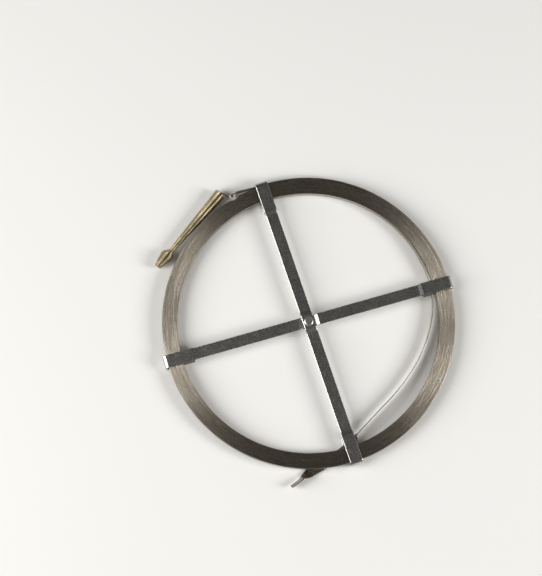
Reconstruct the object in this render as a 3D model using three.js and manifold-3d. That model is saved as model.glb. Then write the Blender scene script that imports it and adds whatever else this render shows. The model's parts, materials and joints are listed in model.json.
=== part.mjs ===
// Flat-tape drain auger in its storage frame.
//
// A long spring-steel tape is wound on edge into a flat pack. Two crossed steel strips, riveted
// in the middle, hold it: each strip end is folded round the pack as a keeper. The tape's outer
// end is rolled into an eye, and the auger head, a tapered close-wound spring with a bulb near
// its tip, hangs from that eye on a wire hook. The tape's inner end springs away from the pack,
// turns over on its side, and slips out under it.
//
// Millimetres, +Z up. Y runs along the upper strip and X to its right. Heights in this file are
// measured from the surface the frame lies on; at the end everything is lowered, so that the
// origin is the centre of the rivet's foot.
import * as THREE from 'three';
import { mergeVertices } from 'three/addons/utils/BufferGeometryUtils.js';
import Module from 'manifold-3d';

const wasm = await Module();
wasm.setup();

// ---------------------------------------------------------------- driving dimensions
// Tape
const tapeWidth = 5;
const tapeThickness = 0.42;
const tapePitch = 0.5;                // from one turn to the next, so the turns all but touch
const packRadius = 75.8;              // outside of the outermost turn
const packTurns = 16;                 // whole turns, before the last part turn
const lastPartTurn = 52.5;            // degrees, from the upper strip to where the tail leaves
const stepsPerTurn = 48;
const eyeBore = 1.96;
const eyeAlong = 16.2;                // from the upper strip's line to the middle of the eye
const eyeRoll = 290;                  // degrees of the rolled eye
const eyeGap = 0.3;                   // between the eye and the pack
// Tail, from where it leaves the pack to its free end: [degrees, distance]. The first list is
// measured inwards from the inside of the pack, the second outwards from the outside of it.
const tailInside = [
  [22.6, 0], [11.7, 0.4], [-0.3, 0.8], [-7.3, 1.7], [-18.7, 3.8], [-27.6, 5.7], [-37.2, 7.5],
  [-47.6, 9], [-58.3, 9.7], [-68.7, 9.4], [-78.5, 7.3], [-86.6, 3.9], [-91.8, -0.3],
];
const tailOutside = [[-107, 0.4], [-114.7, 9.2]];
const tailSteps = 96;
const turnsOver = [1, 0.26];          // tape widths inside the pack: from on edge to flat
const rightsItself = [0.1, 1.1];      // tape widths outside the rim: from flat to its last lean
const tailTipLean = 18;               // degrees from upright at the free end
// Frame strips
const stripThickness = 1;
const armWidth = 6;
const keeperWidth = 6.6;
const keeperReach = 15;               // from the keeper's wall inwards, above and below the pack
const bendRadius = 1;                 // inside each bend
const armDrop = 0.4;                  // the arms run this much lower than the keepers' tops
const rampLength = 2;
const crossingPlay = 1.2;             // room between the seat's shoulders and the strip in it
const crossingTurn = -2.6;            // degrees: how far the lower strip lies out of square
// Rivet
const shankRadius = 1.4;
const rivetHeadRadius = 2.5;
const rivetHeadHeight = 0.9;
const rivetHeadRim = 0.2;             // straight edge of the head, below its rounding
const rivetCrownRadius = 1.4;         // flat on top of the head
const rivetFootRadius = 2.3;
const rivetFootHeight = 0.7;
const rivetFootChamfer = 0.4;
// Auger head
const headWire = 1;
const headLength = 51.5;
const headMouthRadius = 3.25;
const headNose = [                    // [radius, distance from the tip], tip, bulb and waist
  [1.6, 0], [2.7, 3.7], [3.6, 7.6], [3.6, 8.6], [2.6, 10], [1.5, 11.4], [1.55, 13.4],
];
const headStandOff = 2.5;             // from the pack's rim to the head's axis, where it is closest
const boreLeast = 0.45;
// Hook
const hookWire = 0.9;
const hookReach = 6.05;               // from the eye's middle to the middle of the head's mouth
const hookBearing = 41.9;             // degrees, from straight outwards at the eye
const hookLip = 1.9;                  // how far the hook's end is bent back over the eye
const hookInside = 2;                 // how far the hook reaches into the head
// Clearances
const runningGap = 0.3;               // between the pack, the tail under it, and the flanges
const keeperGap = 0.5;                // between the pack and the wall and top of a keeper
const seatGap = 0.1;                  // between pieces clamped by the rivet, and in its holes

// ---------------------------------------------------------------- levels and radii that follow
const flatTailMiddle = stripThickness + runningGap + tapeThickness / 2;
const packBottom = flatTailMiddle + tapeThickness / 2 + runningGap;
const packMiddle = packBottom + tapeWidth / 2;
const keeperInside = packBottom + tapeWidth + keeperGap - stripThickness;
const keeperTopMiddle = stripThickness * 1.5 + keeperInside;
const armMiddle = keeperTopMiddle - armDrop;
const crossingShift = (stripThickness + seatGap) / 2;
const wallInside = packRadius + keeperGap;
const outerTurn = packRadius - tapeThickness / 2;
const packInside = packRadius - (packTurns + lastPartTurn / 360) * tapePitch - tapeThickness;
const rivetTop = armMiddle + crossingShift + stripThickness / 2 + seatGap;
const rivetBottom = armMiddle - crossingShift - stripThickness / 2 - seatGap;
const footUnderside = rivetBottom - rivetFootHeight;

const polar = (radius, degrees) => new THREE.Vector2(
  radius * Math.cos(THREE.MathUtils.degToRad(degrees)),
  radius * Math.sin(THREE.MathUtils.degToRad(degrees)),
);

// ---------------------------------------------------------------- shared geometry helpers
// A band of rectangular section. Each station has a centre and two half-size vectors, and
// across x through points along the band.
function bandGeometry(stations) {
  const corners = [[1, 1], [-1, 1], [-1, -1], [1, -1]];
  const positions = [];
  for (const { centre, across, through } of stations) {
    for (const [a, t] of corners) {
      positions.push(...centre.clone().addScaledVector(across, a).addScaledVector(through, t));
    }
  }
  const index = [];
  for (let i = 0; i + 1 < stations.length; i += 1) {
    for (let k = 0; k < 4; k += 1) {
      const a = 4 * i + k;
      const b = 4 * i + ((k + 1) % 4);
      index.push(a, b, b + 4, a, b + 4, a + 4);
    }
  }
  const end = 4 * (stations.length - 1);
  index.push(0, 2, 1, 0, 3, 2, end, end + 1, end + 2, end, end + 2, end + 3);
  const geometry = new THREE.BufferGeometry();
  geometry.setAttribute('position', new THREE.Float32BufferAttribute(positions, 3));
  geometry.setIndex(index);
  geometry.computeVertexNormals();
  return geometry;
}

function toSolid(geometry) {
  const bare = geometry.clone();
  bare.deleteAttribute('normal');
  bare.deleteAttribute('uv');
  const merged = mergeVertices(bare, 1e-4);
  return new wasm.Manifold(new wasm.Mesh({
    numProp: 3,
    vertProperties: new Float32Array(merged.attributes.position.array),
    triVerts: new Uint32Array(merged.index.array),
  }));
}

function fromSolid(solid) {
  const mesh = solid.getMesh();
  const geometry = new THREE.BufferGeometry();
  geometry.setAttribute('position', new THREE.Float32BufferAttribute(mesh.vertProperties, 3));
  geometry.setIndex(Array.from(mesh.triVerts));
  geometry.computeVertexNormals();
  return geometry;
}

// A lathe of [radius, height] points, turned to stand along Z.
function uprightLathe(profile, segments) {
  const outline = profile.map(([radius, height]) => new THREE.Vector2(radius, height));
  const geometry = new THREE.LatheGeometry(outline, segments);
  geometry.rotateX(Math.PI / 2);
  return geometry;
}

// ---------------------------------------------------------------- frame strips
// Half of a strip's middle line in side view, from the hub outwards and round one keeper to its
// lip: [distance from the hub, height, width]. shift lifts or lowers the seat at the hub.
function halfStripLine(shift) {
  const seatHalf = (armWidth + crossingPlay) / 2;
  const keeperStart = wallInside - keeperReach;
  const bend = bendRadius + stripThickness / 2;
  const wall = wallInside + stripThickness / 2;
  const line = [
    [seatHalf, armMiddle + shift, armWidth],
    [seatHalf + rampLength, armMiddle, armWidth],
    [keeperStart - rampLength, armMiddle, armWidth],
    [keeperStart, keeperTopMiddle, keeperWidth],
  ];
  const bendSteps = 5;
  for (let i = 0; i <= bendSteps; i += 1) {
    const turn = (Math.PI / 2) * (i / bendSteps);
    line.push([
      wall - bend + bend * Math.sin(turn), keeperTopMiddle - bend + bend * Math.cos(turn), keeperWidth,
    ]);
  }
  for (let i = 0; i <= bendSteps; i += 1) {
    const turn = (Math.PI / 2) * (i / bendSteps);
    line.push([
      wall - bend + bend * Math.cos(turn),
      stripThickness / 2 + bend - bend * Math.sin(turn),
      keeperWidth,
    ]);
  }
  line.push([keeperStart, stripThickness / 2, keeperWidth]);
  return line;
}

// A whole strip along X, bent to its line, with the rivet's hole through its seat.
function stripGeometry(shift) {
  const half = halfStripLine(shift);
  const line = [...half.map(([x, z, w]) => [-x, z, w]).reverse(), ...half];
  const stations = line.map(([x, z, width], i) => {
    const before = line[Math.max(i - 1, 0)];
    const after = line[Math.min(i + 1, line.length - 1)];
    const arrive = new THREE.Vector2(x - before[0], z - before[1]).normalize();
    const leave = new THREE.Vector2(after[0] - x, after[1] - z).normalize();
    const along = arrive.clone().add(leave).normalize();
    const mitre = Math.max(arrive.dot(along), leave.dot(along));
    const depth = stripThickness / 2 / mitre;
    return {
      centre: new THREE.Vector3(x, 0, z),
      across: new THREE.Vector3(0, width / 2, 0),
      through: new THREE.Vector3(-along.y * depth, 0, along.x * depth),
    };
  });
  const drill = new THREE.CylinderGeometry(
    shankRadius + seatGap, shankRadius + seatGap, stripThickness * 6, 32,
  );
  drill.rotateX(Math.PI / 2);
  drill.translate(0, 0, armMiddle + shift);
  return fromSolid(toSolid(bandGeometry(stations)).subtract(toSolid(drill)));
}

// ---------------------------------------------------------------- rivet
function rivetGeometry() {
  const profile = [
    [0, footUnderside], [rivetFootRadius - rivetFootChamfer, footUnderside],
    [rivetFootRadius, footUnderside + rivetFootChamfer], [rivetFootRadius, rivetBottom],
    [shankRadius, rivetBottom], [shankRadius, rivetTop], [rivetHeadRadius, rivetTop],
  ];
  const roundingSteps = 4;
  for (let i = 0; i <= roundingSteps; i += 1) {
    const turn = (Math.PI / 2) * (i / roundingSteps);
    profile.push([
      rivetCrownRadius + (rivetHeadRadius - rivetCrownRadius) * Math.cos(turn),
      rivetTop + rivetHeadRim + (rivetHeadHeight - rivetHeadRim) * Math.sin(turn),
    ]);
  }
  profile.push([0, rivetTop + rivetHeadHeight]);
  return uprightLathe(profile, 32);
}

// ---------------------------------------------------------------- tape
const eyeMiddleLine = (eyeBore + tapeThickness) / 2;
const eyeFromCentre = packRadius - tapePitch + eyeGap + eyeMiddleLine + tapeThickness / 2;
const eye = new THREE.Vector2(-eyeAlong, Math.sqrt(eyeFromCentre ** 2 - eyeAlong ** 2));

// A station of the tape: on edge where lean is 0, flat where it is 90 degrees. outward is the
// side away from the middle of the pack.
function tapeStation(point, height, outward, lean = 0) {
  const angle = THREE.MathUtils.degToRad(lean);
  const up = new THREE.Vector3(0, 0, 1);
  const out = new THREE.Vector3(outward.x, outward.y, 0);
  return {
    centre: new THREE.Vector3(point.x, point.y, height),
    across: up.clone().multiplyScalar(Math.cos(angle)).addScaledVector(out, -Math.sin(angle))
      .multiplyScalar(tapeWidth / 2),
    through: out.clone().multiplyScalar(Math.cos(angle)).addScaledVector(up, Math.sin(angle))
      .multiplyScalar(-tapeThickness / 2),
  };
}

// The rolled eye, from the tape's outer end round to where the tape runs off towards the pack.
function eyeStations() {
  const stations = [];
  const rollSteps = 15;
  for (let i = 0; i < rollSteps; i += 1) {
    const outward = polar(1, 90 + eyeRoll * (1 - i / rollSteps));
    const point = outward.clone().multiplyScalar(eyeMiddleLine).add(eye);
    stations.push(tapeStation(point, packMiddle, outward));
  }
  return stations;
}

// From the eye to the top of the pack, where the tape joins the outermost turn.
function leadStations() {
  const stations = [];
  const start = eye.y + eyeMiddleLine;
  const leadSteps = 8;
  for (let i = 0; i < leadSteps; i += 1) {
    const share = 1 - i / leadSteps;
    const rise = THREE.MathUtils.smoothstep(share, 0, 1);
    const slope = (start - outerTurn) * 6 * share * (1 - share) / eyeAlong;
    const outward = new THREE.Vector2(slope, 1).normalize();
    const point = new THREE.Vector2(-eyeAlong * share, outerTurn + (start - outerTurn) * rise);
    stations.push(tapeStation(point, packMiddle, outward));
  }
  return stations;
}

function packStations() {
  const stations = [];
  const steps = Math.round((packTurns + lastPartTurn / 360) * stepsPerTurn);
  for (let i = 0; i <= steps; i += 1) {
    const degrees = 90 - (360 * i) / stepsPerTurn;
    const radius = outerTurn - (tapePitch * i) / stepsPerTurn;
    stations.push(tapeStation(polar(radius, degrees), packMiddle, polar(1, degrees)));
  }
  return stations;
}

// The tail springs inwards on edge, then turns over to flat on its way back, passes under the
// pack, and goes on turning the same way until it is nearly on edge again, clear of the rim. Its
// plan is a smooth curve of radius against angle, so that it follows on from the pack's spiral.
function tailStations() {
  const leaves = 90 - lastPartTurn;
  const plan = new THREE.CatmullRomCurve3([
    new THREE.Vector3(leaves, packInside + tapeThickness / 2, 0),
    ...tailInside.map(([degrees, inwards]) => new THREE.Vector3(degrees, packInside - inwards, 0)),
    ...tailOutside.map(([degrees, outwards]) => new THREE.Vector3(degrees, packRadius + outwards, 0)),
  ], false, 'centripetal');
  const route = plan.getSpacedPoints(tailSteps).map(({ x, y }) => polar(y, x));
  const stations = [];
  let nearest = Infinity;
  for (let i = 1; i <= tailSteps; i += 1) {
    const point = route[i];
    const along = route[Math.min(i + 1, tailSteps)].clone().sub(route[i - 1]).normalize();
    const radius = point.length();
    nearest = Math.min(nearest, radius);
    const [overFrom, overTo] = turnsOver.map((widths) => packInside - widths * tapeWidth);
    const [rightFrom, rightTo] = rightsItself.map((widths) => packRadius + widths * tapeWidth);
    const flatter = radius > nearest ? THREE.MathUtils.smoothstep(radius, overFrom, overTo) : 0;
    const righted = THREE.MathUtils.smoothstep(radius, rightFrom, rightTo);
    const lean = 90 * flatter + (90 - tailTipLean) * righted;
    const lift = righted > 0 ? tapeWidth / 2 : packMiddle - flatTailMiddle;
    const height = flatTailMiddle + lift * Math.abs(Math.cos(THREE.MathUtils.degToRad(lean)));
    stations.push(tapeStation(point, height, new THREE.Vector2(-along.y, along.x), lean));
  }
  return stations;
}

function tapeGeometry() {
  return bandGeometry([
    ...eyeStations(), ...leadStations(), ...packStations(), ...tailStations(),
  ]);
}

// ---------------------------------------------------------------- auger head and its hook
const bearingOut = THREE.MathUtils.radToDeg(eye.angle()) + hookBearing;
const mouth = polar(hookReach, bearingOut).add(eye);
const headAxisFromCentre = packRadius + headStandOff;
const headNormal = THREE.MathUtils.radToDeg(
  mouth.angle() + Math.acos(headAxisFromCentre / mouth.length()),
);
const headHeading = headNormal + 90;

// The head along +Z from its tip, hollow like the spring it is: the nose, then a straight taper
// to its mouth.
function headGeometry() {
  const outside = [...headNose, [headMouthRadius, headLength]];
  const inside = outside.map(([r, distance]) => [Math.max(r - headWire, boreLeast), distance]);
  return uprightLathe([...outside, ...inside.reverse(), outside[0]], 24);
}

// The hook: out of the head's mouth, under the eye, up through its bore and back over its rim.
function hookGeometry() {
  const towardsHead = polar(1, headHeading);
  const fromEye = polar(1, bearingOut);
  const at = (distance, height) => new THREE.Vector3(
    eye.x + fromEye.x * distance, eye.y + fromEye.y * distance, height,
  );
  const under = packBottom - runningGap - hookWire / 2;
  const over = packBottom + tapeWidth + runningGap + hookWire / 2;
  const route = new THREE.CatmullRomCurve3([
    new THREE.Vector3(
      mouth.x + towardsHead.x * hookInside, mouth.y + towardsHead.y * hookInside, packMiddle,
    ),
    at(hookReach, packMiddle), at(hookReach * 0.7, packMiddle - hookWire),
    at(hookReach * 0.4, under + hookWire / 3), at(hookWire, under), at(0, under + hookWire),
    at(0, packMiddle), at(0, over - hookWire), at(hookWire, over), at(hookLip, over),
  ], false, 'centripetal');
  const section = new THREE.Shape();
  section.absarc(0, 0, hookWire / 2, 0, Math.PI * 2);
  return new THREE.ExtrudeGeometry(section, { steps: 40, curveSegments: 5, extrudePath: route });
}

// ---------------------------------------------------------------- assembly
const zinc = { color: 0x8a9298, roughness: 0.42, metalness: 0.9 };
const finishes = {
  upper_strip: zinc,
  lower_strip: zinc,
  centre_rivet: { color: 0x9aa092, roughness: 0.35, metalness: 0.9 },
  steel_tape: { color: 0x6f6b5e, roughness: 0.45, metalness: 0.85 },
  head_hook: { color: 0x3a3128, roughness: 0.5, metalness: 0.8 },
  auger_head: { color: 0x9c8450, roughness: 0.35, metalness: 0.9 },
};

const auger = new THREE.Group();

function addPiece(name, geometry) {
  const piece = new THREE.Mesh(geometry, new THREE.MeshStandardMaterial(finishes[name]));
  piece.name = name;
  auger.add(piece);
  return piece;
}

const upperStrip = addPiece('upper_strip', stripGeometry(crossingShift));
upperStrip.rotation.z = Math.PI / 2;
const lowerStrip = addPiece('lower_strip', stripGeometry(-crossingShift));
lowerStrip.rotation.z = THREE.MathUtils.degToRad(crossingTurn);
addPiece('centre_rivet', rivetGeometry());
addPiece('steel_tape', tapeGeometry());
addPiece('head_hook', hookGeometry());

// The head points away from its mouth along its heading: its own tip-to-mouth axis is turned
// from +Z to the opposite of that heading, with the tip at the far end.
const augerHead = addPiece('auger_head', headGeometry());
const heading = polar(1, headHeading);
augerHead.quaternion.setFromUnitVectors(
  new THREE.Vector3(0, 0, 1), new THREE.Vector3(-heading.x, -heading.y, 0),
);
augerHead.position.set(
  mouth.x + heading.x * headLength, mouth.y + heading.y * headLength, packMiddle,
);

auger.position.z = -footUnderside;

export default auger;
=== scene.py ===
# %% [markdown]
# # A flat-tape drain auger
# The real tool is a long spring-steel tape wound on edge into a flat ring. Two crossed strips of
# zinc-plated steel, riveted in the middle, hold the ring, and a brass-plated spring head hangs
# from the tape's outer end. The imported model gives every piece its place. This script builds a
# finer piece round each of them: folded sheet metal, a wound tape, a close-wound spring.

# %% Load the fixed frame
import json
import math

import bpy
import numpy as np
from mathutils import Matrix, Vector


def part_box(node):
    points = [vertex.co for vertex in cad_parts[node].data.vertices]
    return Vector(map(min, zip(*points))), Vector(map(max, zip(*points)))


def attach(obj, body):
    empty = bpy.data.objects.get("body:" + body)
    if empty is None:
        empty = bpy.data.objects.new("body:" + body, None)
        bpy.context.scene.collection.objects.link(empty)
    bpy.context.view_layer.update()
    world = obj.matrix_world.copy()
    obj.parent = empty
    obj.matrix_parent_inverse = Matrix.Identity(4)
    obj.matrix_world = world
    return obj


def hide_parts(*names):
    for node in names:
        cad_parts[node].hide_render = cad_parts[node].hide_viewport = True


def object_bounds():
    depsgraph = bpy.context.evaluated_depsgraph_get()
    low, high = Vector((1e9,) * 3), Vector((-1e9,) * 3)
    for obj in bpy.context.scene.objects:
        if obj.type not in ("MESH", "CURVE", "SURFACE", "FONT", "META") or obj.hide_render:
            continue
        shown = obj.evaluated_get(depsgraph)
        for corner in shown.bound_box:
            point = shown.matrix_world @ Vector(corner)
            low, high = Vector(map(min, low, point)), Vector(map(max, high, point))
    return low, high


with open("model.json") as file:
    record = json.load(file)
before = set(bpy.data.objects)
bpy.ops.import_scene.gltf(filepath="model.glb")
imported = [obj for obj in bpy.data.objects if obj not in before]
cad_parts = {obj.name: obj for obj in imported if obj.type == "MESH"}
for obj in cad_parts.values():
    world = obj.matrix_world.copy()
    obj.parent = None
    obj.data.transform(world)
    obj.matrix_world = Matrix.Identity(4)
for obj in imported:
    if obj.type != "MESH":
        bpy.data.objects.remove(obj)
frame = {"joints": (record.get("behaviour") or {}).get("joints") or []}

CAD_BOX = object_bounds()
MM = 0.001
FLOOR = CAD_BOX[0].z
scene = bpy.context.scene
print("CAD box in mm:", [round(v / MM, 2) for corner in CAD_BOX for v in corner])

# %% [markdown]
# ## Camera
# A product seen nearly from above with a long lens. A camera is easiest to place by three
# directions: its right, its up, and its back, which points from the subject to the camera. They
# are the columns of its rotation matrix.

# %% Camera
CAMERA_PLACE = Vector((-0.0939, -0.1333, FLOOR + 1.102))
CAMERA_RIGHT = Vector((0.94694, -0.32047, 0.02454)).normalized()
CAMERA_BACK = Vector((-0.07324, -0.14080, 0.98733)).normalized()
CAMERA_UP = CAMERA_BACK.cross(CAMERA_RIGHT)

SENSOR_WIDTH = 36                      # millimetres, as the focal length is
FOCAL_LENGTH = 134.4

camera_data = bpy.data.cameras.new("camera")
camera_data.sensor_width = SENSOR_WIDTH
camera_data.lens = FOCAL_LENGTH
camera = bpy.data.objects.new("camera", camera_data)
turn = Matrix((CAMERA_RIGHT, CAMERA_UP, CAMERA_BACK)).transposed()
camera.matrix_world = Matrix.Translation(CAMERA_PLACE) @ turn.to_4x4()
scene.collection.objects.link(camera)
scene.camera = camera
print("camera stands", round(CAMERA_PLACE.z - FLOOR, 3), "m above the floor")

# %% [markdown]
# ## Floor and light
# Flat metal lying on a table mirrors whatever is above it. So the sky straight above stays dim,
# which keeps the strips dark. A tall soft box on the left lights every face that leans that way. A
# narrower one on the right lights the other side.

# %% Floor and lights
def mesh_piece(name, vertices, faces, smooth=True):
    """A new mesh object at the origin from points in metres."""
    mesh = bpy.data.meshes.new(name)
    mesh.from_pydata([tuple(v) for v in vertices], [], [tuple(f) for f in faces])
    mesh.validate()
    mesh.update()
    if smooth:
        mesh.shade_smooth()
    else:
        mesh.shade_flat()
    piece = bpy.data.objects.new(name, mesh)
    scene.collection.objects.link(piece)
    return piece


def soft_box(name, place, aim, width, height, power, colour):
    """An area light at place, turned to face aim."""
    data = bpy.data.lights.new(name, "AREA")
    data.shape = "RECTANGLE"
    data.size = width
    data.size_y = height
    data.energy = power
    data.color = colour
    lamp = bpy.data.objects.new(name, data)
    lamp.location = place
    lamp.rotation_euler = (Vector(aim) - Vector(place)).to_track_quat("-Z", "Y").to_euler()
    scene.collection.objects.link(lamp)
    return lamp


FLOOR_HALF = 1.5
FLOOR_COLOUR = (0.88, 0.88, 0.87, 1)
FLOOR_ROUGHNESS = 0.7
corners = [(-1, -1), (1, -1), (1, 1), (-1, 1)]
floor_points = [(FLOOR_HALF * x, FLOOR_HALF * y, FLOOR) for x, y in corners]
floor = mesh_piece("floor", floor_points, [(0, 1, 2, 3)], smooth=False)
pale = bpy.data.materials.new("pale_floor")
pale.use_nodes = True
pale_shader = pale.node_tree.nodes["Principled BSDF"]
pale_shader.inputs["Base Color"].default_value = FLOOR_COLOUR
pale_shader.inputs["Roughness"].default_value = FLOOR_ROUGHNESS
floor.data.materials.append(pale)

RING_MIDDLE = (0, 0, 0)
WARM_WHITE = (1.0, 0.985, 0.96)
soft_box(
    "key_left", (-0.85, 0.14, 0.70), RING_MIDDLE, width=0.56, height=1.0, power=12, colour=WARM_WHITE
)
soft_box(
    "fill_right", (0.79, -0.47, 0.72), RING_MIDDLE, width=0.42, height=0.6, power=8.5, colour=WARM_WHITE
)

HORIZON = (0.50, 0.49, 0.47, 1)
ZENITH = (0.040, 0.037, 0.034, 1)
DARK_FROM = 0.7                        # height on a unit sky where it has reached its darkest
world = bpy.data.worlds.new("studio")
world.use_nodes = True
sky = world.node_tree
direction = sky.nodes.new("ShaderNodeTexCoord")
height = sky.nodes.new("ShaderNodeSeparateXYZ")
ramp = sky.nodes.new("ShaderNodeValToRGB")
ramp.color_ramp.elements[0].color = HORIZON
ramp.color_ramp.elements[1].color = ZENITH
ramp.color_ramp.elements[1].position = DARK_FROM
sky.links.new(direction.outputs["Generated"], height.inputs[0])
sky.links.new(height.outputs["Z"], ramp.inputs["Fac"])
sky.links.new(ramp.outputs["Color"], sky.nodes["Background"].inputs["Color"])
scene.world = world
scene.view_settings.view_transform = "Standard"

# %% [markdown]
# ## Shader helpers
# Every finish below is a Principled BSDF with small node trees in front of it. A helper that adds
# a node, sets its sockets and links what is a socket keeps those trees short to read.

# %% Node helpers
def add_node(tree, kind, settings=None, **sockets):
    """A node with its settings and sockets filled. i0 is the first socket, and other words are names.

    A value that is another node's output is linked.
    """
    node = tree.nodes.new(kind)
    for key, value in (settings or {}).items():
        setattr(node, key, value)
    for key, value in sockets.items():
        place = int(key[1:]) if key[1:].isdigit() else key.replace("_", " ")
        socket = node.inputs[place]
        if isinstance(value, bpy.types.NodeSocket):
            tree.links.new(value, socket)
        else:
            socket.default_value = value
    return node


def math_node(tree, operation, a, b=0.0, clamp=False):
    settings = {"operation": operation, "use_clamp": clamp}
    return add_node(tree, "ShaderNodeMath", settings, i0=a, i1=b).outputs[0]


def mix_colour(tree, factor, a, b):
    return add_node(tree, "ShaderNodeMix", {"data_type": "RGBA"}, i0=factor, i6=a, i7=b).outputs[2]


def remap(tree, value, low, high, to_low=0.0, to_high=1.0):
    node = add_node(tree, "ShaderNodeMapRange", None, i0=value, i1=low, i2=high, i3=to_low, i4=to_high)
    return node.outputs[0]


def noise(tree, vector, scale, detail=3.0, roughness=0.55):
    return add_node(tree, "ShaderNodeTexNoise", None, Vector=vector, Scale=scale, Detail=detail,
                    Roughness=roughness).outputs["Fac"]


def new_finish(name, base, metallic, roughness):
    """A material with its Principled BSDF, ready for masks: (material, tree, shader)."""
    material = bpy.data.materials.new(name)
    material.use_nodes = True
    tree = material.node_tree
    shader = tree.nodes["Principled BSDF"]
    shader.inputs["Base Color"].default_value = (*base, 1)
    shader.inputs["Metallic"].default_value = metallic
    shader.inputs["Roughness"].default_value = roughness
    return material, tree, shader


# %% [markdown]
# ## Wear groups
# Two effects show on more than one metal here. Fine scratches lie along a direction, so they are
# noise stretched along that direction. Mottling is the cloudy bloom of a plated or oiled surface.
# Each is built once as a node group, and every finish sets its own scales.

# %% Shared groups
def new_group(name, inputs, outputs):
    group = bpy.data.node_groups.new(name, "ShaderNodeTree")
    for label, kind, value in inputs:
        socket = group.interface.new_socket(label, in_out="INPUT", socket_type=kind)
        if value is not None:
            socket.default_value = value
    for label, kind in outputs:
        group.interface.new_socket(label, in_out="OUTPUT", socket_type=kind)
    return group, group.nodes.new("NodeGroupInput"), group.nodes.new("NodeGroupOutput")


def scratches_group():
    """Streaks along X of the vector it is given, as a mask of scratched places and a height."""
    group, given, out = new_group(
        "scratches",
        [("Vector", "NodeSocketVector", None), ("Across per metre", "NodeSocketFloat", 9000.0),
         ("Stretch", "NodeSocketFloat", 40.0), ("Amount", "NodeSocketFloat", 0.3)],
        [("Mask", "NodeSocketFloat"), ("Height", "NodeSocketFloat")],
    )
    along = math_node(group, "DIVIDE", given.outputs["Across per metre"], given.outputs["Stretch"])
    scale = add_node(group, "ShaderNodeCombineXYZ", None, X=along, Y=given.outputs["Across per metre"],
                     Z=given.outputs["Across per metre"]).outputs[0]
    stretched = add_node(group, "ShaderNodeVectorMath", {"operation": "MULTIPLY"},
                         i0=given.outputs["Vector"], i1=scale).outputs[0]
    streaks = noise(group, stretched, scale=1.0, detail=4.0, roughness=0.7)
    line = remap(group, streaks, 0.56, 0.66)
    patches = noise(group, given.outputs["Vector"], scale=260.0, detail=2.0)
    mask = math_node(group, "MULTIPLY", line, remap(group, patches, 0.42, 0.62))
    mask = math_node(group, "MULTIPLY", mask, given.outputs["Amount"], clamp=True)
    group.links.new(mask, out.inputs["Mask"])
    group.links.new(streaks, out.inputs["Height"])
    return group


def mottling_group():
    """Cloudy patches with fine specks in them."""
    group, given, out = new_group(
        "mottling",
        [("Vector", "NodeSocketVector", None), ("Cloud scale", "NodeSocketFloat", 120.0),
         ("Speck scale", "NodeSocketFloat", 1400.0)],
        [("Clouds", "NodeSocketFloat"), ("Specks", "NodeSocketFloat")],
    )
    place = given.outputs["Vector"]
    clouds = noise(group, place, given.outputs["Cloud scale"], detail=4.0, roughness=0.6)
    specks = noise(group, place, given.outputs["Speck scale"], detail=2.0, roughness=0.5)
    group.links.new(remap(group, clouds, 0.35, 0.65), out.inputs["Clouds"])
    group.links.new(remap(group, specks, 0.4, 0.7), out.inputs["Specks"])
    return group


SCRATCHES = scratches_group()
MOTTLING = mottling_group()
print("groups:", SCRATCHES.name, MOTTLING.name)

# %% [markdown]
# ## Finishes
# Zinc plate is a grey metal with darker bloom and small bright specks. Its scratches run along the
# strip, so each strip turns the pattern to its own direction with a Mapping node.

# %% Zinc plate
def place_group(tree, group, vector, **values):
    node = add_node(tree, "ShaderNodeGroup", {"node_tree": group}, Vector=vector)
    for key, value in values.items():
        node.inputs[key.replace("_", " ")].default_value = value
    return node


ZINC_GREY = (0.55, 0.545, 0.53)
ZINC_ROUGHNESS = 0.25
RIVET_GREY = (0.58, 0.58, 0.55)
RIVET_ROUGHNESS = 0.3
BLOOM_SHARE = 0.82                     # how dark the bloom is, as a share of the base colour
SPECK_SHARE = 1.45                     # and how bright the specks and scratches are
ZINC_BUMP = 0.00004                    # metres


def zinc_finish(name, turn_degrees, base=ZINC_GREY, roughness=ZINC_ROUGHNESS):
    material, tree, shader = new_finish(name, base, 1.0, roughness)
    place = add_node(tree, "ShaderNodeTexCoord").outputs["Object"]
    place = add_node(tree, "ShaderNodeMapping", None, Vector=place,
                     Rotation=(0, 0, math.radians(-turn_degrees))).outputs[0]
    bloom = place_group(tree, MOTTLING, place, Cloud_scale=150.0, Speck_scale=2400.0)
    marks = place_group(tree, SCRATCHES, place, Across_per_metre=7000.0, Stretch=22.0, Amount=0.6)
    dull = tuple(BLOOM_SHARE * c for c in base)
    bright = tuple(min(1.0, SPECK_SHARE * c) for c in base)
    colour = mix_colour(tree, bloom.outputs["Clouds"], (*dull, 1), (*base, 1))
    specks = math_node(tree, "MULTIPLY", bloom.outputs["Specks"], 0.55)
    colour = mix_colour(tree, specks, colour, (*bright, 1))
    colour = mix_colour(tree, marks.outputs["Mask"], colour, (*bright, 1))
    tree.links.new(colour, shader.inputs["Base Color"])
    rough = remap(tree, bloom.outputs["Clouds"], 0.0, 1.0, roughness + 0.03, roughness - 0.01)
    rough = math_node(tree, "ADD", rough, math_node(tree, "MULTIPLY", bloom.outputs["Specks"], 0.06))
    rough = math_node(tree, "ADD", rough, math_node(tree, "MULTIPLY", marks.outputs["Mask"], 0.08))
    tree.links.new(rough, shader.inputs["Roughness"])
    height = math_node(tree, "ADD", math_node(tree, "MULTIPLY", bloom.outputs["Specks"], 0.6),
                       math_node(tree, "MULTIPLY", marks.outputs["Height"], 0.4))
    bump = add_node(tree, "ShaderNodeBump", None, Height=height, Strength=0.15, Distance=ZINC_BUMP)
    tree.links.new(bump.outputs[0], shader.inputs["Normal"])
    return material


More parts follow.
